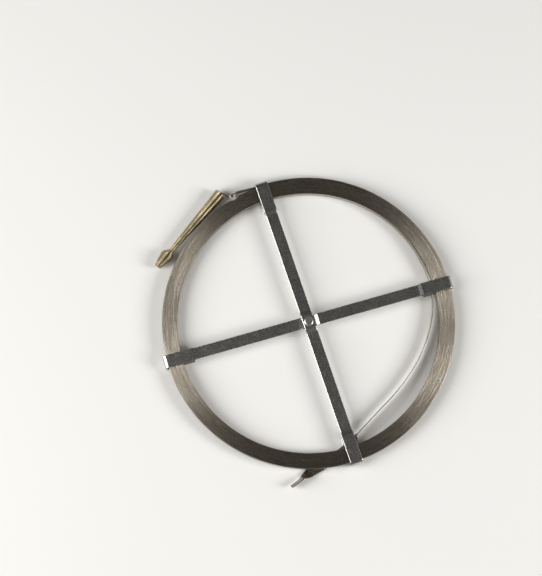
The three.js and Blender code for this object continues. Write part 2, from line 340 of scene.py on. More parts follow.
UPPER_STRIP_TURN = 90.0
LOWER_STRIP_TURN = -2.6
UPPER_ZINC = zinc_finish("zinc_upper_strip", UPPER_STRIP_TURN)
LOWER_ZINC = zinc_finish("zinc_lower_strip", LOWER_STRIP_TURN)
RIVET_ZINC = zinc_finish("zinc_rivet", 0.0, base=RIVET_GREY, roughness=RIVET_ROUGHNESS)
print("zinc finishes:", UPPER_ZINC.name, LOWER_ZINC.name, RIVET_ZINC.name)

# %% [markdown]
# The tape is blued spring steel: darker, warmer, and drawn along its length. Its lines follow the
# turns, so the pattern is read in round coordinates. The direction from the axis varies slowly,
# the radius and the height vary fast, and a 4D noise takes all of them with no seam. Round the
# tape's eye, where the hook works, the colour is painted near-white: partly steel rubbed bare,
# partly a painted highlight.

# %% Spring steel
EYE = Vector(next(joint["pos_m"] for joint in frame["joints"] if joint["name"] == "head_swing")).xy
EYE_BORE = 1.96 * MM
RUBBED_AND_HIGHLIGHT_REACH = 1.6 * EYE_BORE
STEEL_GREY = (0.36, 0.34, 0.31)        # the plain colour, before the masks
STEEL_DARK = (0.13, 0.11, 0.085, 1)
STEEL_BRIGHT = (0.40, 0.365, 0.31, 1)
STEEL_BROWN = (0.22, 0.175, 0.13, 1)
STEEL_GRAIN = (0.48, 0.44, 0.38, 1)
# near-white round the eye: partly steel rubbed bare, partly a painted highlight
STEEL_RUBBED_AND_HIGHLIGHT = (0.95, 0.93, 0.86, 1)
AROUND_SCALE = 5.0                     # of the noise round the ring: slow
ACROSS_SCALE = 2600.0                  # per metre of radius
UPWARD_SCALE = 6000.0                  # per metre of height
FINE_BUMP = 0.00003                   # metres


def vector_node(tree, operation, **sockets):
    """A Vector Math node, for its outputs."""
    return add_node(tree, "ShaderNodeVectorMath", {"operation": operation}, **sockets).outputs


def spring_steel():
    material, tree, shader = new_finish("spring_steel", STEEL_GREY, 1.0, 0.36)
    place = add_node(tree, "ShaderNodeTexCoord").outputs["Object"]
    flat = vector_node(tree, "MULTIPLY", i0=place, i1=(1, 1, 0))[0]
    radius = vector_node(tree, "LENGTH", i0=flat)["Value"]
    outward = vector_node(tree, "NORMALIZE", i0=flat)[0]
    outward = vector_node(tree, "SCALE", i0=outward, Scale=AROUND_SCALE)[0]
    height = add_node(tree, "ShaderNodeSeparateXYZ", None, Vector=place).outputs["Z"]
    upward = math_node(tree, "MULTIPLY", height, UPWARD_SCALE)
    lift = add_node(tree, "ShaderNodeCombineXYZ", None, Z=upward).outputs[0]
    drawn = vector_node(tree, "ADD", i0=outward, i1=lift)[0]
    across = math_node(tree, "MULTIPLY", radius, ACROSS_SCALE)
    lines = add_node(tree, "ShaderNodeTexNoise", {"noise_dimensions": "4D"}, Vector=drawn, W=across,
                     Scale=1.0, Detail=3.0).outputs["Fac"]
    lines = remap(tree, lines, 0.35, 0.65)
    bloom = place_group(tree, MOTTLING, place, Cloud_scale=90.0, Speck_scale=1500.0)
    colour = mix_colour(tree, lines, STEEL_DARK, STEEL_BRIGHT)
    brown = math_node(tree, "MULTIPLY", bloom.outputs["Clouds"], 0.3)
    colour = mix_colour(tree, brown, colour, STEEL_BROWN)
    grain = math_node(tree, "MULTIPLY", bloom.outputs["Specks"], 0.6)
    colour = mix_colour(tree, grain, colour, STEEL_GRAIN)
    # painted highlight round the eye, partly rubbed-bare steel: near-white that fades out with distance
    # from the eye
    from_eye = vector_node(tree, "DISTANCE", i0=flat, i1=(*EYE, 0))["Value"]
    rubbed_and_highlight = remap(tree, from_eye, EYE_BORE, RUBBED_AND_HIGHLIGHT_REACH, 1.0, 0.0)
    colour = mix_colour(tree, rubbed_and_highlight, colour, STEEL_RUBBED_AND_HIGHLIGHT)
    tree.links.new(colour, shader.inputs["Base Color"])
    rough = remap(tree, lines, 0.0, 1.0, 0.40, 0.24)
    rough = math_node(tree, "ADD", rough, math_node(tree, "MULTIPLY", rubbed_and_highlight, 0.15))
    tree.links.new(rough, shader.inputs["Roughness"])
    bump = add_node(tree, "ShaderNodeBump", None, Height=lines, Strength=0.25, Distance=FINE_BUMP)
    tree.links.new(bump.outputs[0], shader.inputs["Normal"])
    return material


SPRING_STEEL = spring_steel()
print("eye at", [round(v / MM, 1) for v in EYE], "mm")

# %% [markdown]
# The head is brass-plated wire, brighter where it is rubbed and brown where the plating has
# tarnished. The hook is dark bare wire.

# %% Brass-plated wire and bare wire
def wire_finish(name, clean, tarnished, roughness):
    material, tree, shader = new_finish(name, clean, 1.0, roughness)
    place = add_node(tree, "ShaderNodeTexCoord").outputs["Object"]
    bloom = place_group(tree, MOTTLING, place, Cloud_scale=140.0, Speck_scale=1800.0)
    amount = math_node(tree, "MULTIPLY", bloom.outputs["Clouds"], 0.7)
    amount = math_node(tree, "ADD", amount, math_node(tree, "MULTIPLY", bloom.outputs["Specks"], 0.3))
    colour = mix_colour(tree, amount, (*clean, 1), (*tarnished, 1))
    tree.links.new(colour, shader.inputs["Base Color"])
    rough = remap(tree, amount, 0.0, 1.0, roughness - 0.06, roughness + 0.12)
    tree.links.new(rough, shader.inputs["Roughness"])
    bump = add_node(tree, "ShaderNodeBump", None, Height=bloom.outputs["Specks"], Strength=0.2,
                    Distance=FINE_BUMP)
    tree.links.new(bump.outputs[0], shader.inputs["Normal"])
    return material


BRASS_CLEAN = (0.66, 0.585, 0.41)
BRASS_TARNISHED = (0.22, 0.17, 0.085)
BARE_CLEAN = (0.34, 0.30, 0.25)
BARE_TARNISHED = (0.18, 0.14, 0.10)
BRASS_WIRE = wire_finish("brass_plated_wire", BRASS_CLEAN, BRASS_TARNISHED, roughness=0.18)
BARE_WIRE = wire_finish("bare_hook_wire", BARE_CLEAN, BARE_TARNISHED, roughness=0.38)
print("finishes:", [m.name for m in bpy.data.materials if m.users])

# %% [markdown]
# ## Curves through points
# The hook and the tape's tail follow smooth curves through a few chosen points. A centripetal
# Catmull-Rom spline passes through every point without loops, even where they are unevenly
# spaced.

# %% Smooth routes
SPAN_STEPS = 40                        # fine steps between two of the chosen points


def reach_along(line):
    """The distance along a line to each of its points."""
    return np.concatenate([[0], np.cumsum(np.linalg.norm(np.diff(line, axis=0), axis=1))])


def smooth_route(points, steps):
    """A centripetal Catmull-Rom curve through points, as steps + 1 evenly spaced points."""
    points = np.array(points, float)
    padded = np.vstack([2 * points[0] - points[1], points, 2 * points[-1] - points[-2]])
    fine = []
    for a, b, c, d in zip(padded, padded[1:], padded[2:], padded[3:]):
        t0 = 0.0
        t1 = t0 + np.linalg.norm(b - a) ** 0.5
        t2 = t1 + np.linalg.norm(c - b) ** 0.5
        t3 = t2 + np.linalg.norm(d - c) ** 0.5
        for t in np.linspace(t1, t2, SPAN_STEPS, endpoint=False):
            ab = (t1 - t) / (t1 - t0) * a + (t - t0) / (t1 - t0) * b
            bc = (t2 - t) / (t2 - t1) * b + (t - t1) / (t2 - t1) * c
            cd = (t3 - t) / (t3 - t2) * c + (t - t2) / (t3 - t2) * d
            abc = (t2 - t) / (t2 - t0) * ab + (t - t0) / (t2 - t0) * bc
            bcd = (t3 - t) / (t3 - t1) * bc + (t - t1) / (t3 - t1) * cd
            fine.append((t2 - t) / (t2 - t1) * abc + (t - t1) / (t2 - t1) * bcd)
    fine = np.array([*fine, points[-1]])
    reach = reach_along(fine)
    even = np.linspace(0, reach[-1], steps + 1)
    return np.column_stack([np.interp(even, reach, fine[:, k]) for k in range(fine.shape[1])])


def smooth_step(value, low, high):
    """0 at low and 1 at high, with a soft start and end."""
    share = np.clip((value - low) / (high - low), 0, 1)
    return share * share * (3 - 2 * share)


trial = smooth_route([(0, 0), (1, 0), (1, 1)], 8)
print("a smooth line through three points has", len(trial), "points")

# %% [markdown]
# ## Geometry Nodes helpers
# A geometry tree is built in the script, given named inputs, and run once. The result becomes a
# plain mesh, and the modifier goes away. Inputs are set by each socket's identifier before the
# object is evaluated for the first time.

# %% Running a geometry tree
def new_geometry_tree(name, inputs):
    tree = bpy.data.node_groups.new(name, "GeometryNodeTree")
    tree.interface.new_socket("Geometry", in_out="INPUT", socket_type="NodeSocketGeometry")
    for label, kind, value in inputs:
        socket = tree.interface.new_socket(label, in_out="INPUT", socket_type=kind)
        if value is not None:
            socket.default_value = value
    tree.interface.new_socket("Geometry", in_out="OUTPUT", socket_type="NodeSocketGeometry")
    return tree, tree.nodes.new("NodeGroupInput"), tree.nodes.new("NodeGroupOutput")


def path_object(name, points, tilts=None):
    """A poly curve along points, with its normals kept level except for the tilts."""
    curve = bpy.data.curves.new(name, "CURVE")
    curve.dimensions = "3D"
    curve.twist_mode = "Z_UP"
    spline = curve.splines.new("POLY")
    spline.points.add(len(points) - 1)
    spline.points.foreach_set("co", np.column_stack([points, np.ones(len(points))]).ravel())
    if tilts is not None:
        spline.points.foreach_set("tilt", tilts)
    holder = bpy.data.objects.new(name, curve)
    scene.collection.objects.link(holder)
    return holder


def run_tree(holder, tree, piece_name, **values):
    """Evaluates tree on holder and returns the result as a plain mesh object at the origin."""
    modifier = holder.modifiers.new("build", "NODES")
    modifier.node_group = tree
    for item in tree.interface.items_tree:
        if item.in_out == "INPUT" and item.name.replace(" ", "_") in values:
            modifier[item.identifier] = values[item.name.replace(" ", "_")]
    bpy.context.view_layer.update()
    evaluated = holder.evaluated_get(bpy.context.evaluated_depsgraph_get())
    mesh = bpy.data.meshes.new_from_object(evaluated)
    mesh.name = piece_name
    bpy.data.objects.remove(holder)
    piece = bpy.data.objects.new(piece_name, mesh)
    scene.collection.objects.link(piece)
    print(piece_name, "has", len(mesh.polygons), "faces")
    return piece


# %% [markdown]
# ## Strips
# Each strip is a pressed blank: cut from flat sheet, pierced for the rivet, then folded. It is
# made here the same way. The blank is a flat grid with a round hole, its points are carried onto
# the folded middle line, and Solidify and Bevel give it its gauge and its rounded edges. The two
# strips step opposite ways at the crossing, and the lower one has one easier fold.

# %% The folded middle line
STRIP_GAUGE = 1.0 * MM
ARM_WIDTH = 6.0 * MM
KEEPER_REACH = 15.0 * MM
BEND_RADIUS = 1.5 * MM                 # to the middle of the gauge
ARM_DROP = 0.4 * MM
RAMP = 2.0 * MM
SEAT_HALF = 3.6 * MM
HOLE_RADIUS = 1.5 * MM
SHOULDER = 2.0 * MM
SHARP_FOLD = 1.2 * MM
EASY_FOLD = 12 * MM
SHOULDER_FOLD = 1.5 * MM
FOLD_STEP = 9                          # degrees of bend between two points

lower_low, lower_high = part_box("lower_strip")
upper_low, upper_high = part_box("upper_strip")
KEEPER_WIDTH = upper_high.x - upper_low.x
WALL_MIDDLE = upper_high.y - STRIP_GAUGE / 2
KEEPER_TOP = lower_high.z - STRIP_GAUGE / 2
KEEPER_BOTTOM = FLOOR + STRIP_GAUGE / 2
ARM_LEVEL = KEEPER_TOP - ARM_DROP
SEAT_SHIFT = upper_high.z - STRIP_GAUGE / 2 - ARM_LEVEL
KEEPER_START = WALL_MIDDLE - STRIP_GAUGE / 2 - KEEPER_REACH


def fold_line(shift, relief):
    """Half a strip's middle line from the hub to its lip, with a fillet at every fold: (n, 2)."""
    folds = [
        (0.0, ARM_LEVEL + shift, 0.0), (SEAT_HALF, ARM_LEVEL + shift, SHARP_FOLD),
        (SEAT_HALF + RAMP, ARM_LEVEL, relief), (KEEPER_START - RAMP, ARM_LEVEL, SHOULDER_FOLD),
        (KEEPER_START, KEEPER_TOP, SHOULDER_FOLD), (WALL_MIDDLE, KEEPER_TOP, BEND_RADIUS),
        (WALL_MIDDLE, KEEPER_BOTTOM, BEND_RADIUS), (KEEPER_START, KEEPER_BOTTOM, 0.0),
    ]
    line = [folds[0][:2]]
    for before, here, after in zip(folds, folds[1:], folds[2:]):
        corner = Vector(here[:2])
        arrive = (corner - Vector(before[:2])).normalized()
        leave = (Vector(after[:2]) - corner).normalized()
        bend = arrive.angle_signed(leave)
        inset = here[2] * math.tan(abs(bend) / 2)
        centre = corner - arrive * inset + Vector((arrive.y, -arrive.x)) * math.copysign(here[2], bend)
        steps = max(3, round(math.degrees(abs(bend)) / FOLD_STEP))
        for k in range(steps + 1):
            spoke = Matrix.Rotation(-bend * k / steps, 2) @ (corner - arrive * inset - centre)
            line.append(tuple(centre + spoke))
    line.append(folds[-1][:2])
    return np.array(line)


half = fold_line(SEAT_SHIFT, SHARP_FOLD)
print("half strip, flat length in mm:", round(float(reach_along(half)[-1]) / MM, 1))

# %% [markdown]
# The blank has eight columns across. Its middle square carries the hole: spokes run from the hole
# to the square's edge, and the grid goes on from there, so no face has to be cut.

# %% Blank, fold and finish a strip
COLUMNS = 8
ROWS = 70                              # even rows from hub to lip, besides those at the folds
LEAST_ROW = 0.08 * MM
FIRST_ROW_GAP = 0.2 * MM
ARM_POINTS = 20                        # the folded line's first points, which run outwards
RING_SHARES = (0.0, 0.2, 0.6, 1.0)     # of the way from the rivet hole to the square round it
WAVE_HEIGHT = 0.03 * MM                # hand-folded arms are a hair out of flat
SHORT_WAVE = 170                       # radians per metre
LONG_WAVE = 60                         # radians per metre
WAVE_PHASE = 4000                      # radians per metre of shift, so that the strips differ
WELD = 0.01 * MM
EDGE_BEVEL = 0.30 * MM
BEVEL_SEGMENTS = 4
BEVEL_FROM = math.radians(50)
NORMAL_WEIGHT = 100


def carry(line, distance):
    """The place at a signed distance along the folded line, mirrored for negative ones."""
    reach = reach_along(line)
    at = min(abs(distance), reach[-1])
    x = float(np.interp(at, reach, line[:, 0]))
    z = float(np.interp(at, reach, line[:, 1]))
    return math.copysign(x, distance) if distance else 0.0, z


def strip_width(along, line):
    """The blank's width at a distance from the hub: arm, a short shoulder, keeper."""
    reach = reach_along(line)
    start = float(np.interp(KEEPER_START - SHOULDER, line[:ARM_POINTS, 0], reach[:ARM_POINTS]))
    grown = float(smooth_step(abs(along), start, start + SHOULDER))
    return ARM_WIDTH + (KEEPER_WIDTH - ARM_WIDTH) * grown


def strip_rows(line):
    """Distances of the grid's rows: every point of the folded line, and some along the arm."""
    reach = reach_along(line)
    rows = set(np.round(reach, 7)) | set(np.round(np.linspace(0, reach[-1], ROWS), 7))
    rows = [r for r in sorted(rows) if r > ARM_WIDTH / 2 + FIRST_ROW_GAP]
    kept = [ARM_WIDTH / 2]
    for row in rows:
        if row - kept[-1] > LEAST_ROW:
            kept.append(row)
    return kept


def square_edge():
    """Points round the blank's middle square, anticlockwise."""
    stops = [ARM_WIDTH * (k / COLUMNS - 0.5) for k in range(COLUMNS)]
    edge = [(ARM_WIDTH / 2, a) for a in stops]
    edge += [(-a, ARM_WIDTH / 2) for a in stops]
    edge += [(-ARM_WIDTH / 2, -a) for a in stops]
    edge += [(a, -ARM_WIDTH / 2) for a in stops]
    return edge


def folded_blank(shift, reliefs):
    """Points and faces of a strip's middle surface: the square with its hole, then both arms."""
    lines = [fold_line(shift, relief) for relief in reliefs]
    points = []
    faces = []

    def put(along, across):
        x, z = carry(lines[along < 0], along)
        if SEAT_HALF + RAMP < abs(x) < KEEPER_START:
            wave = math.sin(x * SHORT_WAVE + shift * WAVE_PHASE) * math.sin(abs(x) * LONG_WAVE)
            z += WAVE_HEIGHT * wave
        points.append((x, across, z))
        return len(points) - 1

    edge = square_edge()
    rings = []
    for share in RING_SHARES:
        ring = []
        for a, b in edge:
            away = math.atan2(b, a)
            hole = (HOLE_RADIUS * math.cos(away), HOLE_RADIUS * math.sin(away))
            ring.append(put(hole[0] + (a - hole[0]) * share, hole[1] + (b - hole[1]) * share))
        rings.append(ring)
    for inner, outer in zip(rings, rings[1:]):
        for k in range(len(edge)):
            n = (k + 1) % len(edge)
            faces.append((inner[k], outer[k], outer[n], inner[n]))
    for side, line in zip((1, -1), lines):
        previous = None
        for along in strip_rows(line):
            width = strip_width(along, line)
            row = [put(side * along, width * (k / COLUMNS - 0.5)) for k in range(COLUMNS + 1)]
            if previous:
                for k in range(COLUMNS):
                    quad = (previous[k], row[k], row[k + 1], previous[k + 1])
                    faces.append(quad if side > 0 else quad[::-1])
            previous = row
    return points, faces


def folded_strip(name, shift, turn_degrees, finish, reliefs):
    """A finished strip, turned to its direction. The reliefs are its two arms' fold radii."""
    points, faces = folded_blank(shift, reliefs)
    turn = Matrix.Rotation(math.radians(turn_degrees), 3, "Z")
    piece = mesh_piece(name, [turn @ Vector(p) for p in points], faces)
    weld = piece.modifiers.new("weld", "WELD")
    weld.merge_threshold = WELD
    gauge = piece.modifiers.new("gauge", "SOLIDIFY")
    gauge.thickness = STRIP_GAUGE
    gauge.offset = 0
    gauge.use_even_offset = True
    round_edges = piece.modifiers.new("edges", "BEVEL")
    round_edges.width = EDGE_BEVEL
    round_edges.segments = BEVEL_SEGMENTS
    round_edges.limit_method = "ANGLE"
    round_edges.angle_limit = BEVEL_FROM
    piece.modifiers.new("weighted", "WEIGHTED_NORMAL").weight = NORMAL_WEIGHT
    return finished(piece, finish)


def finished(piece, finish):
    """Applies a piece's modifiers, which leaves a plain mesh at the origin, and gives it its finish."""
    bpy.context.view_layer.update()
    evaluated = piece.evaluated_get(bpy.context.evaluated_depsgraph_get())
    mesh = bpy.data.meshes.new_from_object(evaluated)
    piece.modifiers.clear()
    piece.data = mesh
    mesh.materials.clear()
    mesh.materials.append(finish)
    mesh.shade_smooth()
    print(piece.name, "has", len(mesh.polygons), "faces")
    return piece


upper_strip = folded_strip(
    "upper_strip_pressing", SEAT_SHIFT, UPPER_STRIP_TURN, UPPER_ZINC, (SHARP_FOLD, SHARP_FOLD)
)
lower_strip = folded_strip(
    "lower_strip_pressing", -SEAT_SHIFT, LOWER_STRIP_TURN, LOWER_ZINC, (SHARP_FOLD, EASY_FOLD)
)

# %% [markdown]
# ## Rivet
# A round head above, a shank through both holes, and a foot spread out below. It is one outline
# turned about the vertical axis. The head is rounded from a short rim to a crown that is a hair
# hollow, and the foot's lower edge is rounded too, because round edges are what catch the light.

# %% Turned rivet
TURN_STEPS = 72


def turned_piece(name, outline, finish):
    """A solid of revolution about Z from (radius, height) points that start and end on the axis."""
    points = []
    rings = []
    for radius, height in outline:
        if radius == 0:
            points.append((0, 0, height))
            rings.append([len(points) - 1] * TURN_STEPS)
            continue
        ring = []
        for k in range(TURN_STEPS):
            angle = 2 * math.pi * k / TURN_STEPS
            points.append((radius * math.cos(angle), radius * math.sin(angle), height))
            ring.append(len(points) - 1)
        rings.append(ring)
    faces = []
    for low, high in zip(rings, rings[1:]):
        for k in range(TURN_STEPS):
            n = (k + 1) % TURN_STEPS
            corners = [low[k], low[n], high[n], high[k]]
            faces.append(tuple(dict.fromkeys(corners)))
    return finished(mesh_piece(name, points, faces), finish)


rivet_low, rivet_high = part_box("centre_rivet")
HEAD_RADIUS = rivet_high.x
HEAD_THICKNESS = 0.9 * MM
HEAD_RIM = 0.2 * MM                    # straight edge below the head's rounding
HEAD_CHAMFER = 0.06 * MM
CROWN_RADIUS = 1.55 * MM
CROWN_DISH = [(0.9, 0.015), (0.6, 0.05), (0, 0.06)]    # shares of the crown's radius, mm down
SHANK_RADIUS = 1.4 * MM
FOOT_RADIUS = 2.3 * MM
FOOT_THICKNESS = 0.7 * MM
FOOT_ROUND = 0.4 * MM
FOOT_CHAMFER = 0.05 * MM
ROUND_STEPS = 6                        # of the foot's rounding
DOME_STEPS = 10                        # of the head's


def arc(centre, radii, start, end, steps):
    """Points of an elliptic arc in the (radius, height) plane, angles in degrees."""
    angles = np.radians(np.linspace(start, end, steps + 1))
    return [(centre[0] + radii[0] * math.cos(a), centre[1] + radii[1] * math.sin(a)) for a in angles]


def rivet_foot():
    """The foot's outline from the axis, round its edge, to the shank."""
    bottom = rivet_low.z
    top = bottom + FOOT_THICKNESS
    foot = [(0, bottom), (FOOT_RADIUS - FOOT_THICKNESS, bottom)]
    centre = (FOOT_RADIUS - FOOT_ROUND, bottom + FOOT_ROUND)
    foot += arc(centre, (FOOT_ROUND, FOOT_ROUND), -90, 0, ROUND_STEPS)
    foot += [(FOOT_RADIUS, top - FOOT_CHAMFER), (FOOT_RADIUS - FOOT_CHAMFER, top), (SHANK_RADIUS, top)]
    return foot


def rivet_head():
    """The head's outline from the shank, round its edge, to the axis."""
    top = rivet_high.z
    under = top - HEAD_THICKNESS
    head = [(SHANK_RADIUS, under)]
    head += [(HEAD_RADIUS - HEAD_CHAMFER, under), (HEAD_RADIUS, under + HEAD_CHAMFER)]
    rounding = (HEAD_RADIUS - CROWN_RADIUS, HEAD_THICKNESS - HEAD_RIM)
    head += arc((CROWN_RADIUS, under + HEAD_RIM), rounding, 0, 90, DOME_STEPS)
    return head + [(CROWN_RADIUS * share, top - down * MM) for share, down in CROWN_DISH]


rivet = turned_piece("rivet_turned", rivet_foot() + rivet_head(), RIVET_ZINC)

# %% [markdown]
# ## Tape
# One strip of spring steel from end to end: the rolled eye, a short lead to the ring, sixteen
# turns and a bit, and a tail that springs inwards, turns over, slips out under the ring and
# rights itself. Its middle line is worked out in the plane. A geometry tree then runs a rounded
# section along it.

# %% The tape's middle line
TAPE_WIDTH = 5.0 * MM
TAPE_GAUGE = 0.45 * MM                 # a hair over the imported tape's, to close up the turns
TAPE_PITCH = 0.5 * MM
RING_RADIUS = 75.8 * MM                # outside of the outermost turn
RING_TURNS = 16
LAST_PART_TURN = 52.5                  # degrees, on to where the tail leaves
STEPS_PER_TURN = 144
CAD_GAUGE = 0.42 * MM
FLAT_LEVEL = FLOOR + 1.51 * MM         # the middle line where the tape lies flat
RING_LEVEL = FLOOR + 4.52 * MM         # and where it stands on edge
EYE_ROLL = 290                         # degrees of the rolled eye
EYE_STEPS = 60
LEAD_STEPS = 30
TAIL_STEPS = 200
WANDER = 0.09 * MM                     # how far the turns stand up and down, at most
WANDER_BEAT = 2.4                      # radians per turn
DRIFT = 3                              # radians the wander slides round the ring
DRIFT_BEAT = 0.9                       # radians per turn
SETTLES_IN = 0.25                      # turns over which the wander dies away at both ends
# Tail: (degrees, distance in mm), inwards from the ring's inside and then outwards from its rim.
TAIL_INSIDE = [
    (22.6, 0), (11.7, 0.4), (-0.3, 0.8), (-7.3, 1.7), (-18.7, 3.8), (-27.6, 5.7), (-37.2, 7.5),
    (-47.6, 9), (-58.3, 9.7), (-68.7, 9.4), (-78.5, 7.3), (-86.6, 3.9), (-91.8, -0.3),
]
TAIL_OUTSIDE = [(-107, 0.4), (-114.7, 9.2)]
TURNS_OVER = (1.0, 0.26)               # tape widths inside the ring: from on edge to flat
RIGHTS_ITSELF = (0.1, 1.1)             # tape widths outside the rim: from flat to its last lean
TAIL_TIP_LEAN = 18                     # degrees from upright

outer_turn = RING_RADIUS - CAD_GAUGE / 2
ring_inside = RING_RADIUS - (RING_TURNS + LAST_PART_TURN / 360) * TAPE_PITCH - CAD_GAUGE


def around(radius, degrees):
    """Plan points at radii and angles about the hub."""
    angle = np.radians(degrees)
    return np.column_stack([radius * np.cos(angle), radius * np.sin(angle)])


def eye_and_lead():
    """The rolled eye, then the lead that comes down onto the outermost turn."""
    middle = (EYE_BORE + CAD_GAUGE) / 2
    roll = 90 + EYE_ROLL * (1 - np.arange(EYE_STEPS) / EYE_STEPS)
    eye = around(np.full(EYE_STEPS, middle), roll) + np.array(EYE)
    share = 1 - np.arange(LEAD_STEPS) / LEAD_STEPS
    rise = smooth_step(share, 0, 1)
    lead = np.column_stack([EYE.x * share, outer_turn + (EYE.y + middle - outer_turn) * rise])
    return np.vstack([eye, lead])


def ring_turns():
    """The wound turns, clockwise and inwards, and how many turns each point has made."""
    steps = round((RING_TURNS + LAST_PART_TURN / 360) * STEPS_PER_TURN)
    turned = np.arange(steps + 1) / STEPS_PER_TURN
    return around(outer_turn - TAPE_PITCH * turned, 90 - 360 * turned), turned


def tail():
    """The inner end, from where it leaves the ring to its tip."""
    plan = [(90 - LAST_PART_TURN, (ring_inside + CAD_GAUGE / 2) / MM)]
    plan += [(degrees, ring_inside / MM - inwards) for degrees, inwards in TAIL_INSIDE]
    plan += [(degrees, RING_RADIUS / MM + outwards) for degrees, outwards in TAIL_OUTSIDE]
    route = smooth_route(plan, TAIL_STEPS)[1:]
    return around(route[:, 1] * MM, route[:, 0])


def tape_line():
    """The whole middle line (n, 3) and its lean from upright in degrees."""
    start = eye_and_lead()
    ring, turned = ring_turns()
    end = tail()
    radius = np.linalg.norm(end, axis=1)
    springing = np.arange(len(end)) < int(radius.argmin())
    over_from, over_to = (ring_inside - widths * TAPE_WIDTH for widths in TURNS_OVER)
    over = smooth_step(radius, over_from, over_to)
    over[springing] = 0
    right_from, right_to = (RING_RADIUS + widths * TAPE_WIDTH for widths in RIGHTS_ITSELF)
    righted = smooth_step(radius, right_from, right_to)
    lean = 90 * over + (90 - TAIL_TIP_LEAN) * righted
    lift = np.where(righted > 0, TAPE_WIDTH / 2, RING_LEVEL - FLAT_LEVEL)
    height = FLAT_LEVEL + lift * np.abs(np.cos(np.radians(lean)))
    drift = turned * 2 * math.pi + DRIFT * np.sin(turned * DRIFT_BEAT)
    wander = WANDER * np.sin(turned * WANDER_BEAT + 1) * np.sin(drift)
    settle = np.clip(np.minimum(turned, turned[-1] - turned) / SETTLES_IN, 0, 1)
    plan = np.vstack([start, ring, end])
    levels = np.concatenate([np.full(len(start), RING_LEVEL), RING_LEVEL + wander * settle, height])
    leans = np.concatenate([np.zeros(len(start) + len(ring)), lean])
    return np.column_stack([plan, levels]), leans


middle_line, leans = tape_line()
tape_length = float(reach_along(middle_line)[-1])
print("tape is", round(tape_length, 2), "m long in", len(middle_line), "steps")

# %% [markdown]
# The tree takes the line as a curve, builds a rounded rectangle from the tape's width, gauge and
# edge radius, and sweeps it. The rounded edges matter: side by side they are the ribbed face of
# the ring, bright where they face a light and dark where they don't.

# %% Sweeping the tape's section
TAPE_EDGE_RADIUS = 0.2 * MM


def tape_tree():
    tree, given, out = new_geometry_tree("tape_section", [
        ("Width", "NodeSocketFloat", TAPE_WIDTH), ("Gauge", "NodeSocketFloat", TAPE_GAUGE),
        ("Edge radius", "NodeSocketFloat", TAPE_EDGE_RADIUS), ("Finish", "NodeSocketMaterial", None),
    ])
    section = add_node(tree, "GeometryNodeCurvePrimitiveQuadrilateral", None,
                       Width=given.outputs["Gauge"], Height=given.outputs["Width"])
    rounded = add_node(tree, "GeometryNodeFilletCurve", {"mode": "POLY"}, Curve=section.outputs[0],
                       Radius=given.outputs["Edge radius"], Count=3)
    swept = add_node(tree, "GeometryNodeCurveToMesh", None, Curve=given.outputs["Geometry"],
                     Profile_Curve=rounded.outputs[0], Fill_Caps=True)
    close_tree(tree, swept.outputs[0], given.outputs["Finish"], out)
    return tree


def close_tree(tree, mesh, finish, out):
    """The ending that every tree here shares: smooth shading, real meshes, and the finish."""
    smooth = add_node(tree, "GeometryNodeSetShadeSmooth", None, Geometry=mesh)
    real = add_node(tree, "GeometryNodeRealizeInstances", None, Geometry=smooth.outputs[0])
    painted = add_node(tree, "GeometryNodeSetMaterial", None, Geometry=real.outputs[0], Material=finish)
    tree.links.new(painted.outputs[0], out.inputs["Geometry"])


def even_normals(piece):
    """Large flat faces keep flat shading, and the small faces of a rounded edge turn between them."""
    weighted = piece.modifiers.new("weighted", "WEIGHTED_NORMAL")
    weighted.weight = NORMAL_WEIGHT
    return finished(piece, piece.data.materials[0])


tape = run_tree(
    path_object("tape_line", middle_line, np.radians(leans)), tape_tree(), "wound_tape",
    Width=TAPE_WIDTH, Gauge=TAPE_GAUGE, Edge_radius=TAPE_EDGE_RADIUS, Finish=SPRING_STEEL,
)
even_normals(tape)

# %% [markdown]
# ## Auger head
# The head is one brass-plated wire wound close on itself, wide at the mouth, tapering to a waist,
# a bulb, and a blunt tip. A close-wound spring puts each turn one wire diameter further along its
# own outline. So the tree divides the outline's length by the wire, which gives the number of
# turns, and spins the outline's points about the axis as they go.

# %% The head, wound on its tip
HEAD_WIRE = 1.0 * MM
HEAD_LENGTH = 51.5 * MM
HEAD_MOUTH = 3.25 * MM                 # radius over the wire
# Nose: (radius, distance from the tip) over the outside of the wire, in millimetres.
HEAD_NOSE = [(1.6, 0), (2.7, 3.7), (3.6, 7.6), (3.6, 8.6), (2.6, 10), (1.5, 11.4), (1.55, 13.4)]
NOSE_STEPS = 60
COIL_STEPS = 28
WIRE_SIDES = 14
WIRE_SLACK = 0.985                     # the wire is a hair thinner than its pitch

inset = HEAD_WIRE / MM / 2
nose = smooth_route([(r - inset, max(s, inset)) for r, s in HEAD_NOSE], NOSE_STEPS)
straight = [(HEAD_MOUTH / MM - inset, HEAD_LENGTH / MM - inset)]
head_outline = np.vstack([nose, straight]) * MM
head_outline = np.column_stack([head_outline[:, 0], np.zeros(len(head_outline)), head_outline[:, 1]])
print("head outline has", len(head_outline), "points")


